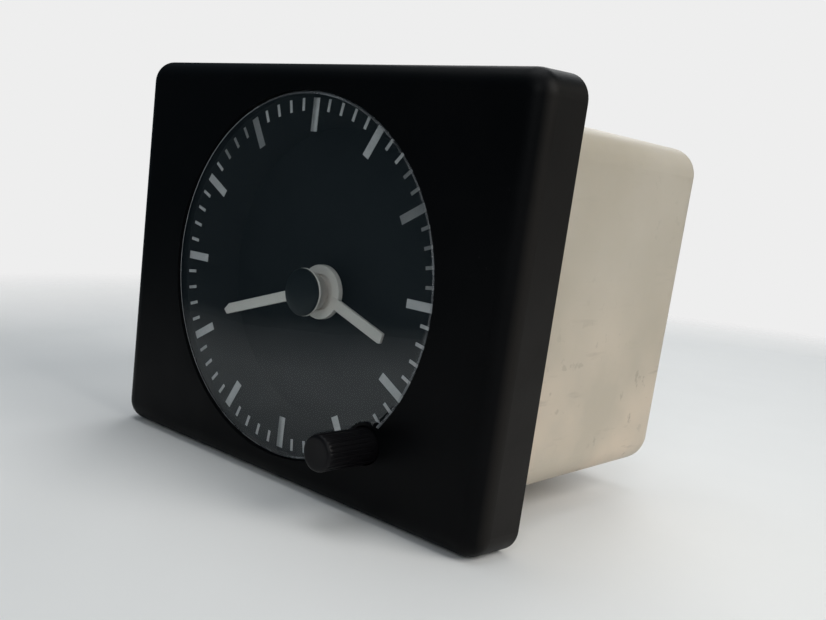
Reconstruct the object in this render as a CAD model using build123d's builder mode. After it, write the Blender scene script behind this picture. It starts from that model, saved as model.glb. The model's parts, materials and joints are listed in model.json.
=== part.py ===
from build123d import *

import math
import os

os.makedirs("parts", exist_ok=True)

# A dashboard clock. X is to the right and Z up as the driver sees it, and +Y runs into the dashboard.
# The origin is the centre of the panel opening, on the plane where the bezel's rim rests.
# Every length is in millimetres, and a "depth" is a Y value: the front is negative.

# Bezel
BEZEL_WIDTH = 88.0
BEZEL_HEIGHT = 69.4
BEZEL_DEPTH = 10.0
BEZEL_CORNER = 4.0
BEZEL_EDGE = 3.3
BEZEL_WALL = 2.0
BEZEL_FACE = 2.2
BEZEL_DRAFT = 1.6
FACE = -BEZEL_DEPTH

# Lens, which carries the printed marks on its rear face
LENS_RADIUS = 30.0
LENS_RECESS = 0.3
LENS_THICKNESS = 1.6
LENS_FLANGE = 32.1
LENS_FRONT = FACE + LENS_RECESS
LENS_REAR = LENS_FRONT + LENS_THICKNESS
FLANGE_FRONT = LENS_REAR - 0.75
MARK_OUTER = 29.15
HOUR_MARK = (5.3, 1.38)
MINUTE_MARK = (2.0, 0.53)
MARK_THICKNESS = 0.08

# Dial well and the plate that closes it
WELL_MOUTH = 29.7
WELL_FLOOR = 25.4
WELL_WALL = 0.7
PLATE_FRONT = 0.7
PLATE_REAR = 1.9

# Housing behind the bezel
HOUSING_WIDTH = 76.1
HOUSING_HEIGHT = 58.8
HOUSING_FRONT = -2.0
HOUSING_REAR = 53.4
HOUSING_CORNER = 5.5
HOUSING_REAR_EDGE = 4.8
HOUSING_WALL = 1.8
HOUSING_DRAFT = 0.8
FLANGE_THICKNESS = 1.4
TUNNELS = [(side * 32.0, level * 23.4) for side in (-1, 1) for level in (-1, 1)]
TUNNEL_RADIUS = 3.9

# The hands stand below the middle of the mark ring
HAND_AXIS = (0.0, -2.3)
MINUTE_ANGLE = 252.0
HOUR_ANGLE = 109.0
ARBOR_RADIUS = 0.75
RUNNING = 0.05

# Setting knob
KNOB_AXIS = (30.8 * math.sin(math.radians(138)), 30.8 * math.cos(math.radians(138)))
KNOB_RADIUS = 2.9
KNOB_FRONT = -20.5
KNOB_REAR = -7.8
KNOB_TRAVEL = 1.5
STEM_RADIUS = 1.0
COLLAR_RADIUS = 3.6
COLLAR_BORE = 3.15
COLLAR_REAR = -5.0
NOTCH_RADIUS = 3.75

# Gear train
FINE_MODULE = 0.25
HOUR_MODULE = 0.24
CANNON_TEETH = 12
MINUTE_WHEEL_TEETH = 36
MINUTE_PINION_TEETH = 10
HOUR_WHEEL_TEETH = 40
CENTRE_WHEEL_TEETH = 96
THIRD_PINION_TEETH = 8
THIRD_WHEEL_TEETH = 80
ROTOR_PINION_TEETH = 8
IDLER_TEETH = 70
STEM_PINION_TEETH = 20

# Movement plates, pillars and circuit board
FRONT_PLATE = (5.2, 6.2)
REAR_PLATE = (16.0, 17.0)
MOVEMENT_WIDTH = 66.0
MOVEMENT_HEIGHT = 51.0
PILLARS = [(-9.5, 22.0), (-24.5, -19.0), (25.0, 15.0)]
BOARD_FRONT = 19.0
BOARD_REAR = 49.5
BOARD_HALF_WIDTH = 33.6
BOARD_TOP = -10.4
BOARD_THICKNESS = 1.6
BLADE_PLACES = (-14.0, 0.0, 14.0)
LAMP_AXIS = (0.0, 12.0)
STUD_PLACES = [(-24.0, 8.0), (24.0, 8.0)]


def depth_plane(depth):
    """Drawing plane at a depth, seen from the front: X right, Z up, its normal towards the driver."""
    return Plane.XZ.offset(-depth)


def rear_plane(depth):
    """Drawing plane at a depth, seen from behind, its normal into the dashboard."""
    return Plane(origin=(0, depth, 0), x_dir=(-1, 0, 0), z_dir=(0, 1, 0))


def around(centre, radius, angle):
    """A point in the dial's plane, at a clockwise angle in degrees from the upright."""
    turn = math.radians(angle)
    return (centre[0] + radius * math.sin(turn), centre[1] + radius * math.cos(turn))


def third_corner(start, end, start_reach, end_reach):
    """The point at two given distances from two others, to the right of the way from start to end."""
    span = math.dist(start, end)
    along = (start_reach**2 - end_reach**2 + span**2) / (2 * span)
    aside = math.sqrt(start_reach**2 - along**2)
    ahead = ((end[0] - start[0]) / span, (end[1] - start[1]) / span)
    return (
        start[0] + along * ahead[0] + aside * ahead[1],
        start[1] + along * ahead[1] - aside * ahead[0],
    )


def ring(front, rear, radius, bore=0.0, at=(0.0, 0.0), mode=Mode.ADD):
    """Add or cut a disc or a tube along Y, between two depths, in the part being built."""
    with BuildSketch(depth_plane(rear)) as outline:
        with Locations(at):
            Circle(radius)
            if bore:
                Circle(bore, mode=Mode.SUBTRACT)
    extrude(outline.sketch, amount=rear - front, mode=mode)


def slab(front, rear, width, height, at=(0.0, 0.0), corner=0.0, turn=0.0, mode=Mode.ADD):
    """Add or cut a rectangular slab between two depths, in the part being built."""
    with BuildSketch(depth_plane(rear)) as outline:
        with Locations(Location((at[0], at[1]), turn)):
            if corner:
                RectangleRounded(width, height, corner)
            else:
                Rectangle(width, height)
    extrude(outline.sketch, amount=rear - front, mode=mode)


def gear(front, rear, teeth, module, at, phase, bore=0.0):
    """Add a spur gear along Y. The phase is the angle of one tooth, anticlockwise from +X."""
    pitch_radius = module * teeth / 2
    tooth = ((-1.2, -0.30), (1.0, -0.11), (1.0, 0.11), (-1.2, 0.30))
    corners = []
    for number in range(teeth):
        for height, side in tooth:
            turn = math.radians(phase + (number + side) * 360 / teeth)
            radius = pitch_radius + height * module
            corners.append((at[0] + radius * math.cos(turn), at[1] + radius * math.sin(turn)))
    with BuildSketch(depth_plane(rear)) as outline:
        with BuildLine():
            Polyline(*corners, close=True)
        make_face()
        if bore:
            with Locations(at):
                Circle(bore, mode=Mode.SUBTRACT)
    extrude(outline.sketch, amount=rear - front)


def meshing_phase(phase, teeth, at, next_teeth, next_at):
    """The phase that puts the next gear's gaps on this gear's teeth."""
    line = math.degrees(math.atan2(next_at[1] - at[1], next_at[0] - at[0]))
    lead = (phase - line) * teeth / 360
    return line + 180 + (0.5 - lead) * 360 / next_teeth


def keep(piece, name):
    """Label a finished piece and write it as its own STEP file."""
    piece.part.label = name
    export_step(piece.part, f"parts/{name}.step")


# Where the arbors stand
stem_reach = FINE_MODULE * (IDLER_TEETH + STEM_PINION_TEETH) / 2
idler_reach = FINE_MODULE * (IDLER_TEETH + MINUTE_WHEEL_TEETH) / 2
minute_reach = FINE_MODULE * (CANNON_TEETH + MINUTE_WHEEL_TEETH) / 2
third_reach = FINE_MODULE * (CENTRE_WHEEL_TEETH + THIRD_PINION_TEETH) / 2
rotor_reach = FINE_MODULE * (THIRD_WHEEL_TEETH + ROTOR_PINION_TEETH) / 2
MINUTE_AXIS = around(HAND_AXIS, minute_reach, 135)
IDLER_AXIS = third_corner(KNOB_AXIS, MINUTE_AXIS, stem_reach, idler_reach)
THIRD_AXIS = around(HAND_AXIS, third_reach, -35)
ROTOR_AXIS = around(THIRD_AXIS, rotor_reach, -105)
COIL_AXIS_X = ROTOR_AXIS[0] - 8.2
STATOR = (11.6, 12.6)
COIL_MIDDLE = STATOR[1] + 0.5
COIL_LENGTH = 19.0
LEAD_RADIUS = 0.35
LEAD_PLACES = [(COIL_AXIS_X + side * 1.6, -7.0) for side in (-1, 1)]

# Gear phases, each found from the gear that it meshes with
cannon_phase = 0.0
minute_wheel_phase = meshing_phase(
    cannon_phase, CANNON_TEETH, HAND_AXIS, MINUTE_WHEEL_TEETH, MINUTE_AXIS
)
idler_phase = meshing_phase(
    minute_wheel_phase, MINUTE_WHEEL_TEETH, MINUTE_AXIS, IDLER_TEETH, IDLER_AXIS
)
stem_pinion_phase = meshing_phase(idler_phase, IDLER_TEETH, IDLER_AXIS, STEM_PINION_TEETH, KNOB_AXIS)
minute_pinion_phase = 0.0
hour_wheel_phase = meshing_phase(
    minute_pinion_phase, MINUTE_PINION_TEETH, MINUTE_AXIS, HOUR_WHEEL_TEETH, HAND_AXIS
)
centre_wheel_phase = 0.0
third_pinion_phase = meshing_phase(
    centre_wheel_phase, CENTRE_WHEEL_TEETH, HAND_AXIS, THIRD_PINION_TEETH, THIRD_AXIS
)
third_wheel_phase = 0.0
rotor_pinion_phase = meshing_phase(
    third_wheel_phase, THIRD_WHEEL_TEETH, THIRD_AXIS, ROTOR_PINION_TEETH, ROTOR_AXIS
)

# ---------------------------------------------------------------- bezel, lens and dial

# The bezel is a shallow moulded tray with a round aperture, four screw bosses and the knob's collar.
with BuildPart() as front_bezel:
    with BuildSketch(depth_plane(0)):
        RectangleRounded(BEZEL_WIDTH, BEZEL_HEIGHT, BEZEL_CORNER)
    extrude(amount=BEZEL_DEPTH, taper=BEZEL_DRAFT)
    fillet(front_bezel.faces().sort_by(Axis.Y)[0].edges(), BEZEL_EDGE)
    slab(
        FACE + BEZEL_FACE,
        0,
        BEZEL_WIDTH - 2 * BEZEL_WALL,
        BEZEL_HEIGHT - 2 * BEZEL_WALL,
        corner=BEZEL_CORNER - 1.5,
        mode=Mode.SUBTRACT,
    )
    ring(FACE, 0, LENS_RADIUS + 0.25, mode=Mode.SUBTRACT)
    ring(FLANGE_FRONT - 0.05, FACE + BEZEL_FACE, LENS_FLANGE + 0.2, mode=Mode.SUBTRACT)
    ring(FACE, COLLAR_REAR, COLLAR_RADIUS, at=KNOB_AXIS)
    ring(FACE, COLLAR_REAR - 1.0, COLLAR_BORE, at=KNOB_AXIS, mode=Mode.SUBTRACT)
    ring(FACE, 0, STEM_RADIUS + RUNNING, at=KNOB_AXIS, mode=Mode.SUBTRACT)
    for place in TUNNELS:
        ring(FACE + BEZEL_FACE, PLATE_FRONT, 3.0, bore=1.22, at=place)
keep(front_bezel, "front_bezel")

# The lens drops into the aperture; its thin flange is caught behind the bezel's lip.
with BuildPart() as lens:
    ring(LENS_FRONT, LENS_REAR, LENS_RADIUS)
    fillet(lens.edges().group_by(Axis.Y)[0], 0.35)
    ring(FLANGE_FRONT, LENS_REAR, LENS_FLANGE)
    ring(LENS_FRONT, LENS_REAR, NOTCH_RADIUS, at=KNOB_AXIS, mode=Mode.SUBTRACT)
keep(lens, "lens")

# The printed marks are thin solids: twelve for the hours and forty-eight for the minutes.
with BuildPart() as hour_marks:
    with BuildSketch(depth_plane(LENS_REAR + MARK_THICKNESS)):
        with PolarLocations(MARK_OUTER - HOUR_MARK[0] / 2, 12):
            Rectangle(*HOUR_MARK)
    extrude(amount=MARK_THICKNESS)
    ring(LENS_FRONT, PLATE_FRONT, NOTCH_RADIUS, at=KNOB_AXIS, mode=Mode.SUBTRACT)
keep(hour_marks, "hour_marks")

with BuildPart() as minute_marks:
    for first in (6, 12, 18, 24):
        with BuildSketch(depth_plane(LENS_REAR + MARK_THICKNESS)):
            with PolarLocations(MARK_OUTER - MINUTE_MARK[0] / 2, 12, start_angle=first):
                Rectangle(*MINUTE_MARK)
        extrude(amount=MARK_THICKNESS)
    ring(LENS_FRONT, PLATE_FRONT, NOTCH_RADIUS, at=KNOB_AXIS, mode=Mode.SUBTRACT)
keep(minute_marks, "minute_marks")

# The well is a thin cone between the lens and the dial plate, with a rim behind the lens flange.
with BuildPart() as dial_well:
    with BuildSketch(Plane.XY):
        with BuildLine():
            Polyline(
                (WELL_MOUTH, LENS_REAR),
                (LENS_FLANGE - 0.2, LENS_REAR),
                (LENS_FLANGE - 0.2, LENS_REAR + WELL_WALL),
                (WELL_MOUTH + WELL_WALL, LENS_REAR + WELL_WALL),
                (WELL_FLOOR + WELL_WALL, PLATE_FRONT),
                (WELL_FLOOR, PLATE_FRONT),
                close=True,
            )
        make_face()
    revolve(axis=Axis.Y)
    ring(LENS_REAR, COLLAR_REAR + 0.3, NOTCH_RADIUS, at=KNOB_AXIS, mode=Mode.SUBTRACT)
keep(dial_well, "dial_well")

# The dial plate is the floor of the well and carries the movement on three bosses.
with BuildPart() as dial_plate:
    slab(PLATE_FRONT, PLATE_REAR, 71.0, 54.0, corner=3.0)
    for place in PILLARS:
        ring(PLATE_REAR, FRONT_PLATE[0], 2.4, at=place)
        ring(PLATE_FRONT + 0.8, FRONT_PLATE[0], 1.02, at=place, mode=Mode.SUBTRACT)
    for place in TUNNELS:
        ring(PLATE_FRONT, PLATE_REAR, 1.5, at=place, mode=Mode.SUBTRACT)
    ring(PLATE_FRONT, PLATE_REAR, 1.75, at=HAND_AXIS, mode=Mode.SUBTRACT)
    ring(PLATE_FRONT, PLATE_REAR, STEM_RADIUS + 0.3, at=KNOB_AXIS, mode=Mode.SUBTRACT)
keep(dial_plate, "dial_plate")

# ---------------------------------------------------------------- hands

MINUTE_HAND = (-6.5, -6.05)
HOUR_HAND = (-2.75, -2.3)
CAP = (-7.15, -6.6)
COLLAR_BASE = -3.5


def hand_outline(inner, outer, width, point, angle, depth):
    """The flat outline of a hand, blunt or with a bevelled point, at a clockwise angle."""
    with BuildSketch(depth_plane(depth)) as outline:
        with BuildLine():
            Polyline(
                (inner, -width / 2),
                (outer - point, -width / 2),
                (outer, -width / 2 + 0.55 * point),
                (outer - 0.35 * point, width / 2),
                (inner, width / 2),
                close=True,
            )
        make_face()
    return outline.sketch.rotate(Axis((0, 0, 0), (0, -1, 0)), 90 - angle).translate(
        (HAND_AXIS[0], 0, HAND_AXIS[1])
    )


# The minute hand is a flat blade on a tall white collar that narrows towards the dial.
with BuildPart() as minute_hand:
    with BuildSketch(Plane.XY):
        with BuildLine():
            Polyline(
                (0, CAP[1] + 0.05),
                (3.9, CAP[1] + 0.05),
                (3.9, MINUTE_HAND[1]),
                (2.95, COLLAR_BASE),
                (0, COLLAR_BASE),
                close=True,
            )
        make_face()
    revolve(axis=Axis.Y)
minute_collar = minute_hand.part.translate((HAND_AXIS[0], 0, HAND_AXIS[1]))
with BuildPart() as minute_hand:
    add(minute_collar)
    blade = hand_outline(0, 20.9, 1.8, 1.5, MINUTE_ANGLE, MINUTE_HAND[1])
    extrude(blade, amount=MINUTE_HAND[1] - MINUTE_HAND[0])
    ring(CAP[0], HOUR_HAND[1], ARBOR_RADIUS + 0.01, at=HAND_AXIS, mode=Mode.SUBTRACT)
keep(minute_hand, "minute_hand")

# The black cap covers the collar and hides the end of the arbor.
with BuildPart() as hand_cap:
    ring(*CAP, 4.0, at=HAND_AXIS)
    fillet(hand_cap.edges().group_by(Axis.Y)[0], 0.3)
keep(hand_cap, "hand_cap")

# The hour hand's blade is level with the front of a white drum on the hour wheel's pipe.
PIPE_RADIUS = 1.5
with BuildPart() as hour_hand:
    ring(HOUR_HAND[0], -1.6, 4.65, at=HAND_AXIS)
    fillet(hour_hand.edges().group_by(Axis.Y)[0], 0.2)
    blade = hand_outline(0, 16.1, 1.95, 0.5, HOUR_ANGLE, HOUR_HAND[1])
    extrude(blade, amount=HOUR_HAND[1] - HOUR_HAND[0])
    ring(HOUR_HAND[0], -1.6, PIPE_RADIUS + 0.01, at=HAND_AXIS, mode=Mode.SUBTRACT)
    ring(HOUR_HAND[0], -2.2, 2.95, at=HAND_AXIS, mode=Mode.SUBTRACT)
keep(hour_hand, "hour_hand")

# ---------------------------------------------------------------- motion work and train

# The centre arbor carries the minute hand in front and turns in both movement plates.
with BuildPart() as centre_arbor:
    ring(CAP[1] + 0.05, REAR_PLATE[1], ARBOR_RADIUS, at=HAND_AXIS)
keep(centre_arbor, "centre_arbor")

with BuildPart() as cannon_pinion:
    gear(3.4, 4.7, CANNON_TEETH, FINE_MODULE, HAND_AXIS, cannon_phase, bore=ARBOR_RADIUS + 0.01)
keep(cannon_pinion, "cannon_pinion")

# The centre wheel slips on the arbor when the hands are set.
with BuildPart() as centre_wheel:
    gear(7.0, 7.8, CENTRE_WHEEL_TEETH, FINE_MODULE, HAND_AXIS, centre_wheel_phase)
    ring(6.5, 9.0, 1.9, at=HAND_AXIS)
    with BuildSketch(depth_plane(7.8)):
        with Locations(HAND_AXIS):
            with PolarLocations(6.6, 5):
                Circle(2.7)
    extrude(amount=0.8, mode=Mode.SUBTRACT)
    ring(6.5, 9.0, ARBOR_RADIUS + 0.02, at=HAND_AXIS, mode=Mode.SUBTRACT)
keep(centre_wheel, "centre_wheel")

# The hour wheel's pipe runs on the centre arbor, through the dial plate, to the hour hand.
with BuildPart() as hour_wheel:
    gear(2.2, 3.0, HOUR_WHEEL_TEETH, HOUR_MODULE, HAND_AXIS, hour_wheel_phase)
    ring(HOUR_HAND[0] + 0.1, 3.2, PIPE_RADIUS, at=HAND_AXIS)
    ring(HOUR_HAND[0], 3.2, ARBOR_RADIUS + RUNNING, at=HAND_AXIS, mode=Mode.SUBTRACT)
keep(hour_wheel, "hour_wheel")

# The minute wheel and its pinion are one moulding that turns on a stud.
STUD_RADIUS = 0.5
with BuildPart() as minute_wheel:
    gear(3.5, 4.3, MINUTE_WHEEL_TEETH, FINE_MODULE, MINUTE_AXIS, minute_wheel_phase)
    gear(2.2, 3.5, MINUTE_PINION_TEETH, HOUR_MODULE, MINUTE_AXIS, minute_pinion_phase)
    ring(2.2, 4.3, STUD_RADIUS + RUNNING, at=MINUTE_AXIS, mode=Mode.SUBTRACT)
keep(minute_wheel, "minute_wheel")

with BuildPart() as setting_idler:
    gear(3.5, 4.3, IDLER_TEETH, FINE_MODULE, IDLER_AXIS, idler_phase)
    ring(3.2, 4.6, 1.6, at=IDLER_AXIS)
    ring(3.2, 4.6, STUD_RADIUS + RUNNING, at=IDLER_AXIS, mode=Mode.SUBTRACT)
keep(setting_idler, "setting_idler")

# Two headed studs, riveted in the front plate, carry the minute wheel and the setting idler.
with BuildPart() as wheel_studs:
    for place, head in ((MINUTE_AXIS, (4.4, 4.9)), (IDLER_AXIS, (4.7, 5.1))):
        ring(2.1, FRONT_PLATE[1], STUD_RADIUS, at=place)
        ring(head[0], head[1], 0.95, at=place)
keep(wheel_studs, "wheel_studs")

with BuildPart() as third_arbor:
    ring(FRONT_PLATE[0], REAR_PLATE[1], 0.45, at=THIRD_AXIS)
keep(third_arbor, "third_arbor")

with BuildPart() as third_wheel:
    gear(9.4, 10.2, THIRD_WHEEL_TEETH, FINE_MODULE, THIRD_AXIS, third_wheel_phase)
    with BuildSketch(depth_plane(10.2)):
        with Locations(THIRD_AXIS):
            with PolarLocations(5.6, 5):
                Circle(2.2)
    extrude(amount=0.8, mode=Mode.SUBTRACT)
    gear(6.6, 9.4, THIRD_PINION_TEETH, FINE_MODULE, THIRD_AXIS, third_pinion_phase)
    ring(6.6, 10.2, 0.46, at=THIRD_AXIS, mode=Mode.SUBTRACT)
keep(third_wheel, "third_wheel")

# ---------------------------------------------------------------- stepping motor

with BuildPart() as rotor_arbor:
    ring(FRONT_PLATE[0], REAR_PLATE[1], 0.4, at=ROTOR_AXIS)
keep(rotor_arbor, "rotor_arbor")

with BuildPart() as rotor_pinion:
    gear(9.2, 10.6, ROTOR_PINION_TEETH, FINE_MODULE, ROTOR_AXIS, rotor_pinion_phase, bore=0.41)
keep(rotor_pinion, "rotor_pinion")

with BuildPart() as rotor_magnet:
    ring(10.9, 13.4, 2.4, bore=0.41, at=ROTOR_AXIS)
keep(rotor_magnet, "rotor_magnet")

# The stator is a flat lamination with a stepped hole round the rotor and an arm at each end.
STATOR_REACH = 12.6
with BuildPart() as stator:
    slab(STATOR[0], STATOR[1], 9.0, 2 * STATOR_REACH + 6, at=ROTOR_AXIS, corner=1.0)
    for end in (-1, 1):
        arm = ((ROTOR_AXIS[0] + COIL_AXIS_X) / 2, ROTOR_AXIS[1] + end * STATOR_REACH)
        slab(STATOR[0], STATOR[1], 12.8, 6.0, at=arm, corner=1.0)
    ring(STATOR[0], STATOR[1], 2.9, at=ROTOR_AXIS, mode=Mode.SUBTRACT)
    for side in (-1, 1):
        notch = (ROTOR_AXIS[0], ROTOR_AXIS[1] + side * 2.9)
        ring(STATOR[0], STATOR[1], 0.5, at=notch, mode=Mode.SUBTRACT)
keep(stator, "stator")

# The core lies on the stator's arms and passes through the coil.
with BuildPart() as coil_core:
    slab(STATOR[1], STATOR[1] + 1.0, 4.0, 2 * STATOR_REACH + 4, at=(COIL_AXIS_X, ROTOR_AXIS[1]))
keep(coil_core, "coil_core")

with BuildPart() as coil_bobbin:
    with Locations((COIL_AXIS_X, COIL_MIDDLE, ROTOR_AXIS[1])):
        Box(5.6, 2.4, COIL_LENGTH)
        for end in (-1, 1):
            with Locations((0, 0, end * (COIL_LENGTH - 0.8) / 2)):
                Box(7.2, 5.6, 0.8)
        Box(4.04, 1.04, COIL_LENGTH, mode=Mode.SUBTRACT)
keep(coil_bobbin, "coil_bobbin")

with BuildPart() as coil_winding:
    with Locations((COIL_AXIS_X, COIL_MIDDLE, ROTOR_AXIS[1])):
        Box(6.9, 5.0, COIL_LENGTH - 1.7)
        fillet(coil_winding.edges().filter_by(Axis.Z), 1.2)
        Box(5.64, 2.44, COIL_LENGTH, mode=Mode.SUBTRACT)
keep(coil_winding, "coil_winding")

# ---------------------------------------------------------------- plates and screws


def movement_plate(front, rear):
    """Add a movement plate with its corners cut round the housing's screw tunnels."""
    slab(front, rear, MOVEMENT_WIDTH, MOVEMENT_HEIGHT, corner=2.0)
    for place in TUNNELS:
        ring(front, rear, TUNNEL_RADIUS + 1.0, at=place, mode=Mode.SUBTRACT)
    for place in PILLARS:
        ring(front, rear, 1.1, at=place, mode=Mode.SUBTRACT)


with BuildPart() as front_plate:
    movement_plate(*FRONT_PLATE)
    ring(*FRONT_PLATE, ARBOR_RADIUS + RUNNING, at=HAND_AXIS, mode=Mode.SUBTRACT)
    ring(*FRONT_PLATE, STUD_RADIUS + 0.01, at=MINUTE_AXIS, mode=Mode.SUBTRACT)
    ring(*FRONT_PLATE, STUD_RADIUS + 0.01, at=IDLER_AXIS, mode=Mode.SUBTRACT)
    ring(*FRONT_PLATE, 0.45 + RUNNING, at=THIRD_AXIS, mode=Mode.SUBTRACT)
    ring(*FRONT_PLATE, 0.40 + RUNNING, at=ROTOR_AXIS, mode=Mode.SUBTRACT)
    ring(*FRONT_PLATE, STEM_RADIUS + RUNNING, at=KNOB_AXIS, mode=Mode.SUBTRACT)
keep(front_plate, "front_plate")

with BuildPart() as rear_plate:
    movement_plate(*REAR_PLATE)
    ring(*REAR_PLATE, ARBOR_RADIUS + RUNNING, at=HAND_AXIS, mode=Mode.SUBTRACT)
    ring(*REAR_PLATE, 0.45 + RUNNING, at=THIRD_AXIS, mode=Mode.SUBTRACT)
    ring(*REAR_PLATE, 0.40 + RUNNING, at=ROTOR_AXIS, mode=Mode.SUBTRACT)
    for place in LEAD_PLACES:
        ring(*REAR_PLATE, LEAD_RADIUS + 0.25, at=place, mode=Mode.SUBTRACT)
keep(rear_plate, "rear_plate")

with BuildPart() as plate_pillars:
    for place in PILLARS:
        ring(FRONT_PLATE[1], REAR_PLATE[0], 2.2, bore=1.1, at=place)
keep(plate_pillars, "plate_pillars")

with BuildPart() as movement_screws:
    for place in PILLARS:
        ring(2.6, REAR_PLATE[1], 1.0, at=place)
        ring(REAR_PLATE[1], REAR_PLATE[1] + 1.3, 1.9, at=place)
        slab(REAR_PLATE[1] + 0.7, REAR_PLATE[1] + 1.3, 3.8, 0.5, at=place, turn=30, mode=Mode.SUBTRACT)
keep(movement_screws, "movement_screws")

# ---------------------------------------------------------------- setting knob

with BuildPart() as setting_knob:
    ring(KNOB_FRONT, KNOB_REAR, KNOB_RADIUS, at=KNOB_AXIS)
    fillet(setting_knob.edges().group_by(Axis.Y)[0], 0.5)
    with BuildSketch(depth_plane(FACE - 0.6)):
        with Locations(KNOB_AXIS):
            with PolarLocations(KNOB_RADIUS + 0.12, 22):
                Circle(0.32)
    extrude(amount=FACE - 0.6 - KNOB_FRONT, mode=Mode.SUBTRACT)
    ring(KNOB_FRONT + 2.5, KNOB_REAR, STEM_RADIUS + 0.01, at=KNOB_AXIS, mode=Mode.SUBTRACT)
keep(setting_knob, "setting_knob")

STEM_END = 12.5
with BuildPart() as setting_stem:
    ring(KNOB_FRONT + 2.6, STEM_END, STEM_RADIUS, at=KNOB_AXIS)
keep(setting_stem, "setting_stem")

with BuildPart() as stem_pinion:
    gear(
        2.0, 3.2, STEM_PINION_TEETH, FINE_MODULE, KNOB_AXIS, stem_pinion_phase, bore=STEM_RADIUS + 0.01
    )
keep(stem_pinion, "stem_pinion")

# A clip on the stem pushes a loose washer, which the return spring presses forwards.
with BuildPart() as stem_clip:
    ring(6.35, 6.85, 1.9, bore=STEM_RADIUS + 0.01, at=KNOB_AXIS)
    slab(6.35, 6.85, 1.2, 2.0, at=(KNOB_AXIS[0], KNOB_AXIS[1] - 1.9), mode=Mode.SUBTRACT)
keep(stem_clip, "stem_clip")

with BuildPart() as spring_washer:
    ring(6.9, 7.3, 2.3, bore=STEM_RADIUS + RUNNING, at=KNOB_AXIS)
keep(spring_washer, "spring_washer")

SPRING_WIRE = 0.18
SPRING_COIL = 1.6
SPRING_ENDS = (7.3 + SPRING_WIRE, REAR_PLATE[0] - SPRING_WIRE)
SPRING_TURNS = 7
with BuildPart() as return_spring:
    with BuildLine():
        coil = Helix(
            pitch=(SPRING_ENDS[1] - SPRING_ENDS[0]) / SPRING_TURNS,
            height=SPRING_ENDS[1] - SPRING_ENDS[0],
            radius=SPRING_COIL,
            center=(KNOB_AXIS[0], SPRING_ENDS[0], KNOB_AXIS[1]),
            direction=(0, 1, 0),
        )
    with BuildSketch(Plane(origin=coil @ 0, z_dir=coil % 0)):
        Circle(SPRING_WIRE)
    sweep(path=coil)
keep(return_spring, "return_spring")

# ---------------------------------------------------------------- housing

# The housing is a drafted box with four screw tunnels, a front flange and rails for the board.
with BuildPart() as rear_housing:
    with BuildSketch(rear_plane(HOUSING_FRONT)):
        RectangleRounded(HOUSING_WIDTH, HOUSING_HEIGHT, HOUSING_CORNER)
    extrude(amount=HOUSING_REAR - HOUSING_FRONT, taper=HOUSING_DRAFT)
    fillet(rear_housing.faces().sort_by(Axis.Y)[-1].edges(), HOUSING_REAR_EDGE)
    with BuildSketch(rear_plane(HOUSING_FRONT)):
        RectangleRounded(
            HOUSING_WIDTH - 2 * HOUSING_WALL,
            HOUSING_HEIGHT - 2 * HOUSING_WALL,
            HOUSING_CORNER - HOUSING_WALL,
        )
    extrude(
        amount=HOUSING_REAR - HOUSING_WALL - HOUSING_FRONT, taper=HOUSING_DRAFT, mode=Mode.SUBTRACT
    )
    with BuildSketch(depth_plane(HOUSING_FRONT + FLANGE_THICKNESS)):
        RectangleRounded(BEZEL_WIDTH - 2 * BEZEL_WALL - 0.8, BEZEL_HEIGHT - 2 * BEZEL_WALL - 0.8, 2.2)
        RectangleRounded(HOUSING_WIDTH - 1, HOUSING_HEIGHT - 1, HOUSING_CORNER, mode=Mode.SUBTRACT)
    extrude(amount=FLANGE_THICKNESS)
    for place in TUNNELS:
        ring(PLATE_REAR, HOUSING_REAR - 1.6, TUNNEL_RADIUS, at=place)
    for place in TUNNELS:
        ring(PLATE_REAR, HOUSING_REAR, 1.5, at=place, mode=Mode.SUBTRACT)
        ring(PLATE_REAR + 3.0, HOUSING_REAR, 2.7, at=place, mode=Mode.SUBTRACT)
    for side in (-1, 1):
        for level in (BOARD_TOP + 0.6, BOARD_TOP - BOARD_THICKNESS - 0.6):
            slab(BOARD_FRONT, 46.0, 4.4, 1.0, at=(side * 34.2, level))
    for place in BLADE_PLACES:
        slab(HOUSING_REAR - 3, HOUSING_REAR, 6.5, 1.0, at=(place, BOARD_TOP + 0.4), mode=Mode.SUBTRACT)
    for place in STUD_PLACES:
        ring(HOUSING_REAR - 3, HOUSING_REAR, 2.02, at=place, mode=Mode.SUBTRACT)
    ring(HOUSING_REAR - 3, HOUSING_REAR, 6.5, at=LAMP_AXIS, mode=Mode.SUBTRACT)
keep(rear_housing, "rear_housing")

with BuildPart() as housing_screws:
    for place in TUNNELS:
        ring(-6.5, PLATE_REAR + 3.0, 1.2, at=place)
        ring(PLATE_REAR + 3.0, PLATE_REAR + 4.8, 2.4, at=place)
        slab(PLATE_REAR + 4.0, PLATE_REAR + 4.8, 3.4, 0.6, at=place, mode=Mode.SUBTRACT)
        slab(PLATE_REAR + 4.0, PLATE_REAR + 4.8, 0.6, 3.4, at=place, mode=Mode.SUBTRACT)
keep(housing_screws, "housing_screws")

# ---------------------------------------------------------------- circuit board and terminals

with BuildPart() as circuit_board:
    with Locations((0, (BOARD_FRONT + BOARD_REAR) / 2, BOARD_TOP - BOARD_THICKNESS / 2)):
        Box(2 * BOARD_HALF_WIDTH, BOARD_REAR - BOARD_FRONT, BOARD_THICKNESS)
keep(circuit_board, "circuit_board")

with BuildPart() as clock_chip:
    with Locations((-8.0, 30.0, BOARD_TOP + 2.1)):
        Box(9.6, 6.4, 3.2)
    for row in (-1, 1):
        for place in (-3.81, -1.27, 1.27, 3.81):
            with Locations((-8.0 + place, 30.0 + row * 3.55, BOARD_TOP + 0.9)):
                Box(0.5, 0.7, 1.8)
keep(clock_chip, "clock_chip")

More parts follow.
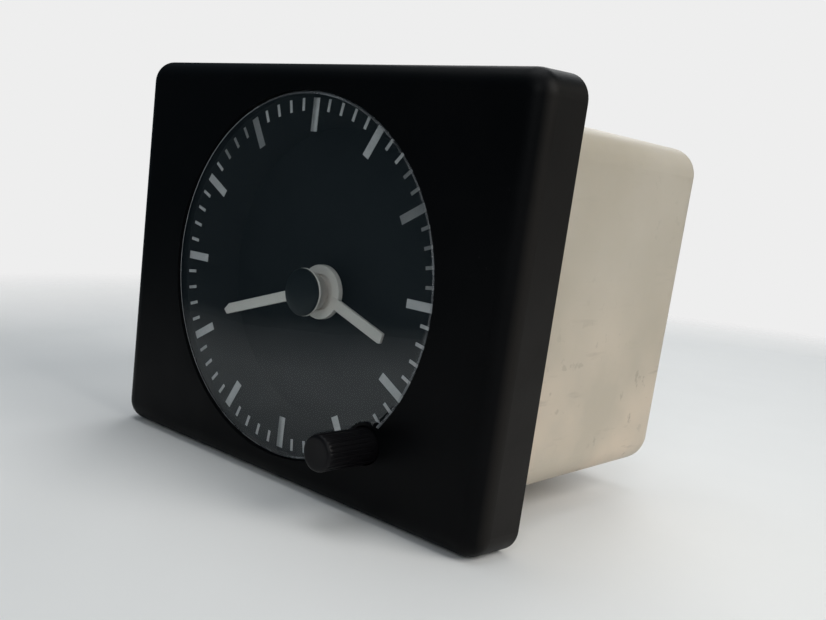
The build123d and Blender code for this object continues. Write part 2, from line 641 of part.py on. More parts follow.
with BuildPart() as quartz_crystal:
    with BuildSketch(Plane.XY.offset(BOARD_TOP)):
        with Locations((8.0, 28.0)):
            SlotOverall(11.0, 4.6)
    extrude(amount=0.5)
    with BuildSketch(Plane.XY.offset(BOARD_TOP + 0.5)):
        with Locations((8.0, 28.0)):
            SlotOverall(10.2, 3.8)
    extrude(amount=10.0)
    fillet(quartz_crystal.edges().group_by(Axis.Z)[-1], 0.6)
keep(quartz_crystal, "quartz_crystal")

with BuildPart() as filter_capacitor:
    with BuildSketch(Plane.XY.offset(BOARD_TOP)):
        with Locations((22.0, 33.0)):
            Circle(4.0)
    extrude(amount=11.5)
    fillet(filter_capacitor.edges().group_by(Axis.Z)[-1], 0.5)
keep(filter_capacitor, "filter_capacitor")

with BuildPart() as ceramic_capacitors:
    for place in ((-20.0, 28.0), (-20.0, 35.0)):
        with BuildSketch(Plane.XY.offset(BOARD_TOP)):
            with Locations(place):
                Rectangle(5.0, 2.4)
        extrude(amount=5.0)
keep(ceramic_capacitors, "ceramic_capacitors")

with BuildPart() as resistors:
    for place in ((-2.0, 38.0), (8.0, 38.0)):
        with BuildSketch(Plane.YZ.offset(place[0] - 3.2)):
            with Locations((place[1], BOARD_TOP + 1.3)):
                Circle(1.2)
        extrude(amount=6.4)
keep(resistors, "resistors")

with BuildPart() as surge_diode:
    with BuildSketch(Plane.YZ.offset(-16.0)):
        with Locations((39.5, BOARD_TOP + 1.5)):
            Circle(1.4)
    extrude(amount=5.2)
keep(surge_diode, "surge_diode")

# Three flat blades lie on the board and leave the housing through slots, for push-on connectors.
BLADE_LENGTH = 20.0
BLADE_TIP = HOUSING_REAR + 9.0
with BuildPart() as terminal_blades:
    for place in BLADE_PLACES:
        with BuildSketch(Plane.XY.offset(BOARD_TOP)):
            with Locations((place, BLADE_TIP - BLADE_LENGTH / 2)):
                Rectangle(6.3, BLADE_LENGTH)
            with Locations((place, BLADE_TIP - 4.2)):
                Circle(0.9, mode=Mode.SUBTRACT)
        extrude(amount=0.8)
    chamfer(terminal_blades.edges().filter_by(Axis.Z).group_by(Axis.Y)[-1], 1.2)
keep(terminal_blades, "terminal_blades")

# The coil's two leads leave the bobbin's lower end, pass through the rear plate and drop to the board.
lead_pieces = []
for place in LEAD_PLACES:
    with BuildPart() as lead:
        with BuildLine():
            path = FilletPolyline(
                (place[0], COIL_MIDDLE + 1.2, ROTOR_AXIS[1] - COIL_LENGTH / 2),
                (place[0], COIL_MIDDLE + 1.2, place[1]),
                (place[0], BOARD_FRONT + 2.0, place[1]),
                (place[0], BOARD_FRONT + 2.0, BOARD_TOP),
                radius=1.1,
            )
        with BuildSketch(Plane(origin=path @ 0, z_dir=path % 0)):
            Circle(LEAD_RADIUS)
        sweep(path=path)
    lead_pieces.append(lead.part)
with BuildPart() as coil_leads:
    add(lead_pieces)
keep(coil_leads, "coil_leads")

# ---------------------------------------------------------------- lamp and mounting studs

with BuildPart() as lamp_holder:
    ring(HOUSING_REAR + 0.1, HOUSING_REAR + 2.6, 8.0, at=LAMP_AXIS)
    ring(HOUSING_REAR - 9.0, HOUSING_REAR + 0.1, 6.3, at=LAMP_AXIS)
    ring(HOUSING_REAR - 9.0, HOUSING_REAR - 1.0, 2.62, at=LAMP_AXIS, mode=Mode.SUBTRACT)
    slab(HOUSING_REAR + 2.6, HOUSING_REAR + 6.6, 11.0, 2.2, at=LAMP_AXIS, corner=0.8)
keep(lamp_holder, "lamp_holder")

with BuildPart() as lamp_bulb:
    with BuildSketch(Plane.XY):
        with BuildLine():
            base = Line((0, HOUSING_REAR - 1.5), (2.3, HOUSING_REAR - 1.5))
            side = Line(base @ 1, (2.3, HOUSING_REAR - 17.0))
            RadiusArc(side @ 1, (0, HOUSING_REAR - 19.3), 2.3)
            Line((0, HOUSING_REAR - 19.3), base @ 0)
        make_face()
    revolve(axis=Axis.Y)
lamp_bulb.part.position = (LAMP_AXIS[0], 0, LAMP_AXIS[1])
keep(lamp_bulb, "lamp_bulb")

# Two M4 studs, their heads inside the rear wall, hold the clock in the dashboard.
STUD_TIP = HOUSING_REAR + 12.0
STUD_NECK = 1.95
with BuildPart() as mounting_studs:
    for place in STUD_PLACES:
        ring(HOUSING_REAR - HOUSING_WALL, HOUSING_REAR, STUD_NECK, at=place)
        ring(HOUSING_REAR, STUD_TIP, 2.0, at=place)
        with BuildSketch(depth_plane(HOUSING_REAR - HOUSING_WALL)):
            with Locations(place):
                RegularPolygon(3.6, 6)
        extrude(amount=2.2)
    chamfer(mounting_studs.edges().group_by(Axis.Y)[-1], 0.5)
keep(mounting_studs, "mounting_studs")
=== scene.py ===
import json
import math

import bmesh
import bpy
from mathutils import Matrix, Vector


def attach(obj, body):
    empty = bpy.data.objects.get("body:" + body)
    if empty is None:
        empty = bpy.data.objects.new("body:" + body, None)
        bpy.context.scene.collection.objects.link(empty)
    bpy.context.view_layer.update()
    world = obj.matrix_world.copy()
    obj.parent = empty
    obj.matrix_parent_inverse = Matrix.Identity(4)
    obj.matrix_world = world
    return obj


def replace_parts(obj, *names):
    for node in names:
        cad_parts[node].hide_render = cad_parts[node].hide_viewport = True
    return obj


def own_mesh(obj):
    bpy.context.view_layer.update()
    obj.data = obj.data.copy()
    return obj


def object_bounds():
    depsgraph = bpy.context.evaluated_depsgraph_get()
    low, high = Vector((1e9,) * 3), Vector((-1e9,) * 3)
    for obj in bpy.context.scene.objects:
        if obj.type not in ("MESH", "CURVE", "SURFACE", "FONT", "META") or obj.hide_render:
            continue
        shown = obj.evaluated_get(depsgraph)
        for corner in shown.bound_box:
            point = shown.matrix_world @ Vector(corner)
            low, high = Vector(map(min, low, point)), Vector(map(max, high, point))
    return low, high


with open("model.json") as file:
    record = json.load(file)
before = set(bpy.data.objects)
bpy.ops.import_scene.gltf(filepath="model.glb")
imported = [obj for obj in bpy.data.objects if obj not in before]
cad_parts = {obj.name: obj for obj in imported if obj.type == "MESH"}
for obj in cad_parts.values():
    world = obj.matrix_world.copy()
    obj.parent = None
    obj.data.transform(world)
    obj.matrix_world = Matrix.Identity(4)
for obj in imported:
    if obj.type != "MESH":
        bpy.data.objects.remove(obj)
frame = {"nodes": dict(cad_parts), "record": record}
CAD_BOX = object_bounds()

MM = 0.001
NODES = frame["nodes"]
SCENE = bpy.context.scene

# Places in the row frame, in millimetres: x to the right, y into the dashboard, z up.
HAND_AXIS = (0.0, -2.3)
KNOB_AXIS = (20.609, -22.889)
LAMP_AXIS = (0.0, 12.0)
STUD_AXES = ((-24.0, 8.0), (24.0, 8.0))
# The hands' angles, in degrees clockwise from the top.
MINUTE_ANGLE = 252.0
HOUR_ANGLE = 109.0
HOUSING_REAR = 53.4


# ---------------------------------------------------------------- materials


class Nodes:
    """A short way to write a material's node tree."""

    def __init__(self, name):
        self.material = bpy.data.materials.new(name)
        self.material.use_nodes = True
        self.tree = self.material.node_tree
        self.tree.nodes.clear()
        self.output = self.add("ShaderNodeOutputMaterial")
        self.coords = self.add("ShaderNodeTexCoord").outputs["Object"]

    def add(self, kind, **settings):
        node = self.tree.nodes.new(kind)
        for key, value in settings.items():
            setattr(node, key, value)
        return node

    def feed(self, socket, value):
        if isinstance(value, bpy.types.NodeSocket):
            self.tree.links.new(value, socket)
        else:
            socket.default_value = value

    def noise(self, scale, detail=3.0, rough=0.5, stretch=None):
        vector = self.coords
        if stretch:
            mapping = self.add("ShaderNodeMapping")
            self.feed(mapping.inputs["Vector"], self.coords)
            mapping.inputs["Scale"].default_value = stretch
            vector = mapping.outputs["Vector"]
        node = self.add("ShaderNodeTexNoise")
        self.feed(node.inputs["Vector"], vector)
        node.inputs["Scale"].default_value = scale
        node.inputs["Detail"].default_value = detail
        node.inputs["Roughness"].default_value = rough
        return node.outputs["Fac"]

    def cells(self, scale, feature="F1"):
        node = self.add("ShaderNodeTexVoronoi", feature=feature)
        self.feed(node.inputs["Vector"], self.coords)
        node.inputs["Scale"].default_value = scale
        return node.outputs["Distance"]

    def ramp(self, value, low, high, to_low=0.0, to_high=1.0):
        node = self.add("ShaderNodeMapRange", clamp=True)
        self.feed(node.inputs["Value"], value)
        node.inputs["From Min"].default_value = low
        node.inputs["From Max"].default_value = high
        node.inputs["To Min"].default_value = to_low
        node.inputs["To Max"].default_value = to_high
        return node.outputs["Result"]

    def math(self, operation, first, second=0.0):
        node = self.add("ShaderNodeMath", operation=operation)
        self.feed(node.inputs[0], first)
        self.feed(node.inputs[1], second)
        return node.outputs[0]

    def blend(self, amount, first, second):
        node = self.add("ShaderNodeMix", data_type="RGBA")
        self.feed(node.inputs["Factor"], amount)
        self.feed(node.inputs["A"], first)
        self.feed(node.inputs["B"], second)
        return node.outputs["Result"]

    def bump(self, height, strength, distance, under=None):
        node = self.add("ShaderNodeBump")
        self.feed(node.inputs["Height"], height)
        node.inputs["Strength"].default_value = strength
        node.inputs["Distance"].default_value = distance * MM
        if under is not None:
            self.feed(node.inputs["Normal"], under)
        return node.outputs["Normal"]

    def principled(self, **sockets):
        node = self.add("ShaderNodeBsdfPrincipled")
        for key, value in sockets.items():
            self.feed(node.inputs[key.replace("_", " ")], value)
        self.feed(self.output.inputs["Surface"], node.outputs["BSDF"])
        return node


def rgba(colour, gain=1.0):
    return (colour[0] * gain, colour[1] * gain, colour[2] * gain, 1.0)


def moulded(name, colour, rough, grain=2200, depth=0.012, strength=0.35, mottle=0.12, specular=0.5):
    """Moulded plastic: fine grain in the surface, and colour and gloss that vary slowly."""
    n = Nodes(name)
    cloud = n.noise(60, 4, 0.6)
    tint = n.blend(n.ramp(cloud, 0.3, 0.7), rgba(colour, 1 - mottle), rgba(colour, 1 + mottle))
    gloss = n.ramp(n.noise(240, 3), 0.3, 0.7, rough - 0.05, rough + 0.05)
    normal = n.bump(n.noise(grain, 2), strength, depth)
    n.principled(Base_Color=tint, Roughness=gloss, Specular_IOR_Level=specular, Normal=normal)
    return n.material


def metal(name, colour, rough, stretch=(1, 1, 1), scale=900, strength=0.25):
    """Bare or plated metal with fine drawn or ground lines."""
    n = Nodes(name)
    lines = n.noise(scale, 3, 0.6, stretch)
    stain = n.noise(140, 4, 0.65)
    tint = n.blend(n.ramp(stain, 0.35, 0.7), rgba(colour), rgba(colour, 0.78))
    gloss = n.ramp(lines, 0.3, 0.7, rough - 0.07, rough + 0.09)
    normal = n.bump(lines, strength, 0.01)
    n.principled(Base_Color=tint, Roughness=gloss, Metallic=1.0, Normal=normal)
    return n.material


def bezel_material():
    """Near-black moulding with a fine spark-eroded grain and a little dust; its side walls get a
    lighter tint, which is painted light.
    """
    n = Nodes("bezel_plastic")
    grain = n.noise(1500, 3, 0.6)
    pits = n.cells(1300)
    height = n.math("ADD", grain, n.ramp(pits, 0.0, 0.6, 0.0, 0.5))
    cloud = n.noise(35, 4, 0.6)
    dark, light = (0.0008, 0.0010, 0.0014, 1), (0.0017, 0.0018, 0.0022, 1)
    tint = n.blend(n.ramp(cloud, 0.35, 0.7), dark, light)
    dust = n.ramp(n.noise(900, 2, 0.5), 0.70, 0.78)
    patch = n.ramp(n.noise(45, 3), 0.45, 0.7, 0.0, 0.22)
    tint = n.blend(n.math("MULTIPLY", dust, patch), tint, (0.08, 0.076, 0.07, 1))
    # Painted light: the side walls, beyond 43 mm from the centre, get a lighter tint that stands in
    # for the light falling on them.
    split = n.add("ShaderNodeSeparateXYZ")
    n.feed(split.inputs["Vector"], n.coords)
    side = n.ramp(n.math("ABSOLUTE", split.outputs["X"]), 0.0428, 0.0436)
    tint = n.blend(n.math("MULTIPLY", side, 0.85), tint, (0.0125, 0.0112, 0.0100, 1))
    gloss = n.ramp(n.noise(110, 4), 0.3, 0.7, 0.40, 0.52)
    n.principled(
        Base_Color=tint,
        Roughness=gloss,
        Specular_IOR_Level=0.08,
        Normal=n.bump(height, 0.30, 0.02),
    )
    return n.material


def housing_material():
    """Cream moulding, uneven in tone in patches and lighter and warmer towards the bottom as
    painted light, with dirt specks, rubbed marks and a soft sheen.
    """
    n = Nodes("housing_plastic")
    cloud = n.noise(28, 5, 0.55)
    tint = n.blend(n.ramp(cloud, 0.3, 0.7), (0.400, 0.354, 0.280, 1), (0.470, 0.426, 0.358, 1))
    split = n.add("ShaderNodeSeparateXYZ")
    n.feed(split.inputs["Vector"], n.coords)
    low = n.ramp(split.outputs["Z"], -0.030, 0.010, 1.0, 0.0)
    deep = n.ramp(split.outputs["Y"], 0.030, 0.053, 0.0, 1.0)
    # Painted light: the lower part is made lighter and warmer in patches, standing in for light
    # caught by the rounded bottom edge.
    painted_bottom_light = n.math("MULTIPLY", low, n.ramp(n.noise(55, 4), 0.4, 0.65, 0.2, 0.75))
    tint = n.blend(painted_bottom_light, tint, (0.640, 0.520, 0.400, 1))
    worn = n.ramp(n.math("ADD", low, n.math("MULTIPLY", deep, 0.25)), 0.2, 1.7, 0.12, 1.0)
    speck = n.ramp(n.noise(420, 3, 0.55), 0.63, 0.68)
    scuff = n.ramp(n.noise(160, 4, 0.6, (1, 0.35, 2.6)), 0.60, 0.70)
    place = n.ramp(n.noise(60, 2), 0.42, 0.58, 0.0, 1.0)
    marks = n.math("MAXIMUM", n.math("MULTIPLY", speck, place), n.math("MULTIPLY", scuff, place))
    dirt = n.math("MULTIPLY", marks, n.math("MULTIPLY", worn, 0.8))
    tint = n.blend(dirt, tint, (0.16, 0.13, 0.105, 1))
    gloss = n.ramp(cloud, 0.3, 0.7, 0.42, 0.58)
    grain = n.noise(1300, 2)
    wave = n.bump(n.noise(50, 2), 0.12, 0.20)
    n.principled(
        Base_Color=tint,
        Roughness=gloss,
        Specular_IOR_Level=0.45,
        Subsurface_Weight=0.06,
        Subsurface_Radius=(0.0015, 0.0011, 0.0006),
        Normal=n.bump(grain, 0.22, 0.015, under=wave),
    )
    return n.material


def lens_material():
    """The polished front of the clear lens: a mirror over clear plastic, with faint smears."""
    n = Nodes("lens_acrylic")
    hair = n.ramp(n.noise(260, 4, 0.7, (1, 1, 9)), 0.62, 0.74, 0.0, 1.0)
    smear = n.ramp(n.noise(70, 4, 0.6), 0.35, 0.75, 0.01, 0.05)
    gloss = n.math("ADD", smear, n.math("MULTIPLY", hair, 0.05))
    clear = n.add("ShaderNodeBsdfTransparent")
    clear.inputs["Color"].default_value = (0.93, 0.96, 0.96, 1)
    mirror = n.add("ShaderNodeBsdfGlossy")
    mirror.inputs["Color"].default_value = (0.92, 0.97, 1.0, 1)
    n.feed(mirror.inputs["Roughness"], gloss)
    edge_on = n.add("ShaderNodeLayerWeight")
    edge_on.inputs["Blend"].default_value = 0.2
    amount = n.ramp(n.math("POWER", edge_on.outputs["Facing"], 4.0), 0.0, 1.0, 0.05, 0.95)
    mix = n.add("ShaderNodeMixShader")
    n.feed(mix.inputs[0], amount)
    n.feed(mix.inputs[1], clear.outputs[0])
    n.feed(mix.inputs[2], mirror.outputs[0])
    n.feed(n.output.inputs["Surface"], mix.outputs[0])
    return n.material


def lens_body_material():
    """The lens behind its polished front, a very little tinted."""
    n = Nodes("lens_body")
    cloud = n.ramp(n.noise(90, 3), 0.35, 0.65)
    clear = n.add("ShaderNodeBsdfTransparent")
    n.feed(clear.inputs["Color"], n.blend(cloud, (0.90, 0.93, 0.93, 1), (0.94, 0.96, 0.96, 1)))
    n.feed(n.output.inputs["Surface"], clear.outputs[0])
    return n.material


def lens_edge_material():
    """The lens's rounded front edge: clear plastic with a little dust, and a painted reflection
    that makes it lighter towards the left.
    """
    n = Nodes("lens_edge")
    clear = n.add("ShaderNodeBsdfTransparent")
    clear.inputs["Color"].default_value = (0.90, 0.93, 0.93, 1)
    shine = n.add("ShaderNodeBsdfPrincipled")
    split = n.add("ShaderNodeSeparateXYZ")
    n.feed(split.inputs["Vector"], n.coords)
    # Painted reflection: towards the left the edge gets a lighter tint and more of the opaque
    # shine.
    painted_left_reflection = n.ramp(split.outputs["X"], -0.030, -0.002, 1.0, 0.0)
    tint = n.blend(painted_left_reflection, (0.36, 0.38, 0.40, 1), (0.93, 0.94, 0.96, 1))
    n.feed(shine.inputs["Base Color"], tint)
    n.feed(shine.inputs["Roughness"], n.ramp(n.noise(300, 3), 0.3, 0.7, 0.2, 0.4))
    patchy = n.ramp(n.noise(110, 4, 0.7), 0.35, 0.70, 0.15, 0.6)
    amount = n.math("MAXIMUM", patchy, n.math("MULTIPLY", painted_left_reflection, 0.85))
    mix = n.add("ShaderNodeMixShader")
    n.feed(mix.inputs[0], amount)
    n.feed(mix.inputs[1], clear.outputs[0])
    n.feed(mix.inputs[2], shine.outputs[0])
    n.feed(n.output.inputs["Surface"], mix.outputs[0])
    return n.material


def ink_material():
    """Screen-printed ink, a little uneven in cover."""
    n = Nodes("printed_ink")
    cover = n.ramp(n.noise(700, 4, 0.65), 0.35, 0.65)
    cloud = n.ramp(n.noise(60, 2), 0.35, 0.65)
    tint = n.blend(cover, (0.46, 0.435, 0.435, 1), (0.59, 0.555, 0.555, 1))
    tint = n.blend(cloud, tint, (0.52, 0.49, 0.49, 1))
    gloss = n.ramp(n.noise(500, 3), 0.3, 0.7, 0.5, 0.68)
    n.principled(Base_Color=tint, Roughness=gloss, Normal=n.bump(n.noise(2500, 2), 0.2, 0.01))
    return n.material


def board_material():
    """Brown laminate with its weave just visible and copper tracks under the lacquer."""
    n = Nodes("board_laminate")
    weave = n.noise(900, 2, 0.5, (1, 6, 1))
    base = n.blend(n.ramp(weave, 0.35, 0.65), (0.26, 0.15, 0.055, 1), (0.34, 0.21, 0.085, 1))
    track = n.ramp(n.cells(150, "DISTANCE_TO_EDGE"), 0.06, 0.08, 1.0, 0.0)
    tint = n.blend(n.math("MULTIPLY", track, 0.7), base, (0.42, 0.28, 0.10, 1))
    gloss = n.ramp(weave, 0.3, 0.7, 0.3, 0.42)
    n.principled(Base_Color=tint, Roughness=gloss, Normal=n.bump(track, 0.3, 0.03))
    return n.material


def winding_material():
    """Enamelled copper wire laid side by side."""
    n = Nodes("enamelled_copper")
    split = n.add("ShaderNodeSeparateXYZ")
    n.feed(split.inputs["Vector"], n.coords)
    turns = n.math("SINE", n.math("MULTIPLY", split.outputs["Z"], 2 * math.pi / (0.14 * MM)))
    tint = n.blend(n.ramp(turns, -1, 1), (0.42, 0.12, 0.035, 1), (0.78, 0.33, 0.13, 1))
    gloss = n.ramp(n.noise(300, 3), 0.3, 0.7, 0.26, 0.36)
    n.principled(Base_Color=tint, Roughness=gloss, Metallic=0.85, Normal=n.bump(turns, 0.5, 0.04))
    return n.material


def floor_material():
    """A pale sheet that fades out into the background away from the object."""
    n = Nodes("pale_floor")
    cloud = n.ramp(n.noise(6, 3), 0.3, 0.7)
    tint = n.blend(cloud, (0.72, 0.72, 0.715, 1), (0.76, 0.76, 0.755, 1))
    gloss = n.ramp(n.noise(90, 3), 0.3, 0.7, 0.62, 0.72)
    normal = n.bump(n.noise(350, 3), 0.1, 0.05)
    sheet = n.principled(Base_Color=tint, Roughness=gloss, Normal=normal)
    reach = n.add("ShaderNodeVectorMath", operation="DISTANCE")
    n.feed(reach.inputs[0], n.coords)
    reach.inputs[1].default_value = (0.10, 0.10, 0.0)
    gone = n.ramp(reach.outputs["Value"], 0.24, 0.34)
    clear = n.add("ShaderNodeBsdfTransparent")
    mix = n.add("ShaderNodeMixShader")
    n.feed(mix.inputs[0], gone)
    n.feed(mix.inputs[1], sheet.outputs[0])
    n.feed(mix.inputs[2], clear.outputs[0])
    n.feed(n.output.inputs["Surface"], mix.outputs[0])
    return n.material


def bulb_glass():
    """Clear glass, a little uneven in tint and polish."""
    n = Nodes("bulb_glass")
    cloud = n.ramp(n.noise(300, 3), 0.35, 0.65)
    tint = n.blend(cloud, (0.93, 0.94, 0.93, 1), (0.98, 0.98, 0.97, 1))
    gloss = n.ramp(n.noise(200, 3), 0.3, 0.7, 0.02, 0.5)
    n.principled(Base_Color=tint, Roughness=gloss, Transmission_Weight=1.0, IOR=1.45)
    return n.material


MATERIALS = {
    "bezel_black": bezel_material(),
    "lens_clear": lens_material(),
    "mark_white": ink_material(),
    "well_black": moulded(
        "well_plastic", (0.0085, 0.0098, 0.0112), 0.62,
        grain=300, depth=0.0005, strength=0.01, mottle=0.08, specular=0.2,
    ),
    "hand_white": moulded(
        "hand_paint", (0.78, 0.69, 0.64), 0.45,
        grain=1600, strength=0.2, mottle=0.05,
    ),
    "cap_black": moulded(
        "cap_plastic", (0.0060, 0.0070, 0.0080), 0.40,
        grain=1700, strength=0.2, specular=0.3,
    ),
    "knob_black": moulded(
        "knob_plastic", (0.0030, 0.0028, 0.0035), 0.42,
        grain=1500, specular=0.15,
    ),
    "housing_cream": housing_material(),
    "acetal_white": moulded(
        "white_acetal", (0.62, 0.61, 0.57), 0.38,
        grain=1500, strength=0.15, mottle=0.04,
    ),
    "acetal_amber": moulded(
        "amber_acetal", (0.50, 0.36, 0.14), 0.38,
        grain=1500, strength=0.15, mottle=0.05,
    ),
    "movement_plastic": moulded(
        "movement_plastic", (0.50, 0.48, 0.41), 0.48,
        grain=1400, mottle=0.05,
    ),
    "arbor_steel": metal("arbor_steel", (0.60, 0.60, 0.61), 0.24, (9, 1, 9)),
    "screw_steel": metal("screw_steel", (0.62, 0.58, 0.46), 0.32, (1, 1, 1), 600),
    "spring_steel": metal("spring_steel", (0.50, 0.50, 0.52), 0.28, (4, 4, 4)),
    "lamination_steel": metal("lamination_steel", (0.38, 0.39, 0.41), 0.40, (1, 1, 8)),
    "ferrite": moulded("ferrite", (0.035, 0.035, 0.04), 0.6, grain=1700, strength=0.5, mottle=0.2),
    "copper_wire": winding_material(),
    "board_laminate": board_material(),
    "chip_black": moulded("chip_epoxy", (0.018, 0.018, 0.02), 0.55, grain=1900, strength=0.5),
    "crystal_can": metal("crystal_can", (0.72, 0.72, 0.73), 0.2, (1, 1, 6)),
    "capacitor_blue": moulded(
        "capacitor_sleeve", (0.02, 0.055, 0.22), 0.3,
        grain=700, strength=0.15,
    ),
    "capacitor_tan": moulded(
        "dipped_ceramic", (0.42, 0.19, 0.05), 0.3,
        grain=500, strength=0.4, mottle=0.2,
    ),
    "resistor_tan": moulded("resistor_lacquer", (0.50, 0.36, 0.18), 0.35, grain=700, strength=0.2),
    "diode_black": moulded("diode_epoxy", (0.02, 0.02, 0.022), 0.4, grain=1200),
    "terminal_brass": metal("tinned_brass", (0.70, 0.66, 0.52), 0.27, (7, 1, 7), 700),
    "lamp_grey": moulded(
        "lamp_holder_plastic", (0.055, 0.055, 0.058), 0.42,
        grain=1300, mottle=0.15,
    ),
    "lamp_glass": bulb_glass(),
    "zinc_steel": metal("zinc_plate", (0.66, 0.66, 0.60), 0.30, (1, 1, 1), 500),
}

# Every CAD node takes the material of its slot.
for row in frame["record"]["subparts"]:
    node = NODES[row["node"]]
    material = MATERIALS[row["material_slot"]]
    node.data.materials.clear()
    node.data.materials.append(material)


# ---------------------------------------------------------------- mesh helpers


def spot(bm, centre, reach, turn, depth):
    """Add a point at a reach and a turn about a centre, at a depth."""
    x = centre[0] + reach * math.cos(turn)
    z = centre[1] + reach * math.sin(turn)
    return bm.verts.new((x, depth, z))


def join_rings(bm, rings):
    """Skin a row of rings into a closed tube."""
    for first, second in zip(rings, rings[1:]):
        for step in range(len(first)):
            after = (step + 1) % len(first)
            bm.faces.new((first[step], first[after], second[after], second[step]))
    bm.faces.new(reversed(rings[0]))
    bm.faces.new(rings[-1])


def finish_mesh(name, bm, slot, body, sharp=32):
    """Turn a bmesh in millimetres into a piece that rides on a body, with the finish of a slot."""
    bmesh.ops.remove_doubles(bm, verts=bm.verts, dist=0.0004)
    bmesh.ops.recalc_face_normals(bm, faces=bm.faces)
    bmesh.ops.scale(bm, vec=(MM, MM, MM), verts=bm.verts)
    mesh = bpy.data.meshes.new(name)
    bm.to_mesh(mesh)
    bm.free()
    for face in mesh.polygons:
        face.use_smooth = True
    mesh.set_sharp_from_angle(angle=math.radians(sharp))
    mesh.materials.append(MATERIALS[slot])
    piece = bpy.data.objects.new(name, mesh)
    SCENE.collection.objects.link(piece)
    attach(piece, body)
    return piece


def add_turned(bm, profile, at, segments=96, closed=False):
    """Add a body of revolution about a Y axis. The profile is (radius, depth) points."""
    rings = []
    for radius, depth in profile:
        if radius < 1e-6:
            rings.append([bm.verts.new((at[0], depth, at[1]))])
            continue
        ring = []
        for step in range(segments):
            turn = 2 * math.pi * step / segments
            ring.append(spot(bm, at, radius, turn, depth))
        rings.append(ring)
    pairs = list(zip(rings, rings[1:]))
    if closed:
        pairs.append((rings[-1], rings[0]))
    for first, second in pairs:
        for step in range(segments):
            after = (step + 1) % segments
            corners = []
            corners += [first[0]] if len(first) == 1 else [first[step], first[after]]
            corners += [second[0]] if len(second) == 1 else [second[after], second[step]]
            if len(corners) > 2:
                bm.faces.new(corners)


def add_plate(bm, outline, front, rear, bevel=0.0, rear_bevel=0.0):
    """Add a flat piece with an (x, z) outline between two depths, its edges rounded."""
    faces = []
    for depth in (front, rear):
        faces.append(bm.faces.new([bm.verts.new((x, depth, z)) for x, z in outline]))
    count = len(outline)
    before, behind = [list(face.verts) for face in faces]
    for step in range(count):
        after = (step + 1) % count
        bm.faces.new((before[step], before[after], behind[after], behind[step]))
    for face, size in zip(faces, (bevel, rear_bevel)):
        if size:
            bmesh.ops.bevel(
                bm,
                geom=list(face.edges),
                offset=size,
                segments=3,
                profile=0.5,
                affect="EDGES",
            )


def turned(name, profile, at, slot, body, segments=96):
    """Make a body of revolution about a Y axis as a piece."""
    bm = bmesh.new()
    add_turned(bm, profile, at, segments)
    return finish_mesh(name, bm, slot, body)


def spun(points, angle, centre):
    """Turn outline points, given along a hand, to a clockwise angle about a centre."""
    turn = math.radians(90 - angle)
    out = []
    for along, aside in points:
        x = along * math.cos(turn) - aside * math.sin(turn)
        z = along * math.sin(turn) + aside * math.cos(turn)
        out.append((centre[0] + x, centre[1] + z))
    return out


def cut(piece, tool_maker):
    """Cut a tool shape out of a piece's mesh, and drop the tool."""
    bm = bmesh.new()
    tool_maker(bm)
    bmesh.ops.recalc_face_normals(bm, faces=bm.faces)
    bmesh.ops.scale(bm, vec=(MM, MM, MM), verts=bm.verts)
    tool_mesh = bpy.data.meshes.new("tool")
    bm.to_mesh(tool_mesh)
    bm.free()
    tool = bpy.data.objects.new("tool", tool_mesh)
    SCENE.collection.objects.link(tool)
    modifier = piece.modifiers.new("cut", "BOOLEAN")
    modifier.operation = "DIFFERENCE"
    modifier.solver = "EXACT"
    modifier.object = tool
    seen = piece.evaluated_get(bpy.context.evaluated_depsgraph_get())
    mesh = bpy.data.meshes.new_from_object(seen)
    piece.modifiers.clear()
    piece.data = mesh
    bpy.data.objects.remove(tool)
    bpy.data.meshes.remove(tool_mesh)
    return piece


# ---------------------------------------------------------------- lens

# The front is polished up to a rounded edge, and a thinner flange lies behind the bezel.
EDGE_INNER = 29.66
EDGE_REAR = -9.4
FACE_REAR = -9.2
KNOB_HOLE = 3.75
profile = [(0.0, -9.72), (14.0, -9.72), (29.2, -9.70), (29.62, -9.66), (29.88, -9.54)]
profile += [(30.0, -9.36), (30.0, -8.85), (32.1, -8.85), (32.1, -8.1), (0.0, -8.1)]
lens = turned("clear_lens", profile, (0.0, 0.0), "lens_clear", "case", segments=192)
drill = [(0.0, -11.0), (KNOB_HOLE, -11.0), (KNOB_HOLE, -8.0), (0.0, -8.0)]
cut(lens, lambda bm: add_turned(bm, drill, KNOB_AXIS, 64))
lens.data.materials.append(lens_body_material())
lens.data.materials.append(lens_edge_material())
for face in lens.data.polygons:
    reach = math.hypot(face.center.x, face.center.z)
    if reach > EDGE_INNER * MM and face.center.y < EDGE_REAR * MM:
        face.material_index = 2
    elif face.normal.y < -0.2 and face.center.y < FACE_REAR * MM:
        face.material_index = 0
    else:
        face.material_index = 1
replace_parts(lens, "lens")


# ---------------------------------------------------------------- hands and cap

# The minute hand: a blade with a bevelled tip, on a long cone that narrows towards the dial.
bm = bmesh.new()
blade = [(0.6, -0.9), (19.4, -0.9), (20.9, -0.075), (20.375, 0.9), (0.6, 0.9)]
add_plate(bm, spun(blade, MINUTE_ANGLE, HAND_AXIS), -6.54, -6.05, bevel=0.16)
collar = [(0.77, -6.55), (3.9, -6.55), (4.05, -6.42), (4.05, -6.2), (3.9, -6.0), (2.95, -3.65)]
collar += [(2.85, -3.5), (0.77, -3.5)]
add_turned(bm, collar, HAND_AXIS, closed=True)
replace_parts(finish_mesh("minute_hand_blade", bm, "hand_white", "minute_arbor"), "minute_hand")

